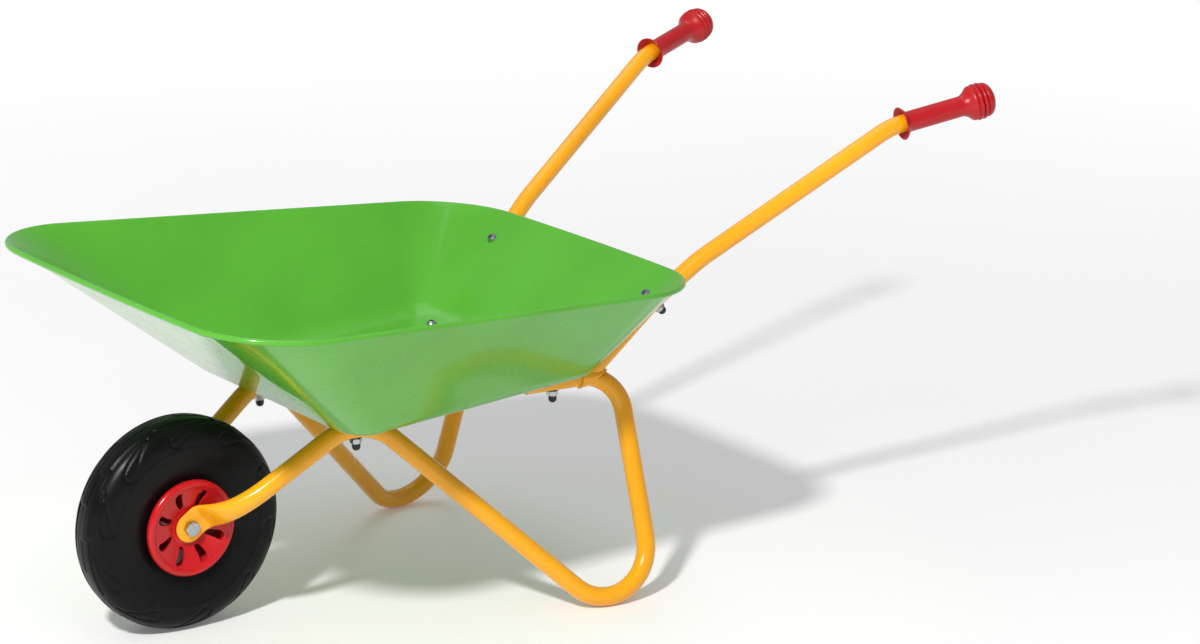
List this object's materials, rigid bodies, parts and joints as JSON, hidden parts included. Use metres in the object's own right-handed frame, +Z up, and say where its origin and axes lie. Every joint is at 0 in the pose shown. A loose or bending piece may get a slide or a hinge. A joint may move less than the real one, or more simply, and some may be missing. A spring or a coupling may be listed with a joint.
{
  "type": "child's wheelbarrow",
  "caption": "Small wheelbarrow: a pressed sheet tray with a rolled edge on splayed bent handle tubes and V-shaped leg tubes that carry a moulded front wheel.",
  "frame": {"origin": "on the ground, under the middle of the whole object's bounding box", "axes": "+Y from the wheel back towards the hand grips, +Z up, +X to the left-hand side of a user who stands behind the grips"},
  "size_m": [0.4774, 0.8801, 0.4659],
  "materials": {
    "tray_green": "smooth gloss powder coat on pressed steel sheet",
    "frame_yellow": "gloss powder coat on bent steel tube",
    "grip_red": "soft moulded plastic, satin",
    "hub_red": "moulded plastic, semi gloss",
    "tyre_black": "matt black rubber",
    "zinc": "bright zinc plating",
    "cap_black": "moulded plastic, satin",
    "bush_nylon": "natural nylon",
    "sleeve_steel": "plain steel tube"
  },
  "bodies": {
    "barrow": {"tray": "tray_green", "handle_tube_left": "frame_yellow", "handle_tube_right": "frame_yellow", "leg_tube_left": "frame_yellow", "leg_tube_right": "frame_yellow", "leg_weld_left": "frame_yellow", "leg_weld_right": "frame_yellow", "grip_left": "grip_red", "grip_right": "grip_red", "floor_front_bolts": "zinc", "floor_front_nuts": "zinc", "floor_front_nut_caps": "cap_black", "floor_rear_bolts": "zinc", "floor_rear_nuts": "zinc", "floor_rear_nut_caps": "cap_black", "rear_wall_bolts": "zinc", "rear_wall_nuts": "zinc", "rear_wall_nut_caps": "cap_black", "axle_sleeve": "sleeve_steel", "axle_bolt": "zinc", "axle_washer": "zinc", "axle_nut": "zinc"},
    "wheel": {"tyre": "tyre_black", "hub_left": "hub_red", "hub_right": "hub_red", "wheel_bush_left": "bush_nylon", "wheel_bush_right": "bush_nylon"}
  },
  "joints": [
    {"name": "wheel_spin", "type": "hinge", "parent": "barrow", "child": "wheel", "pos_m": [0, -0.3393, 0.1], "axis": [1, 0, 0], "continuous": true}
  ]
}
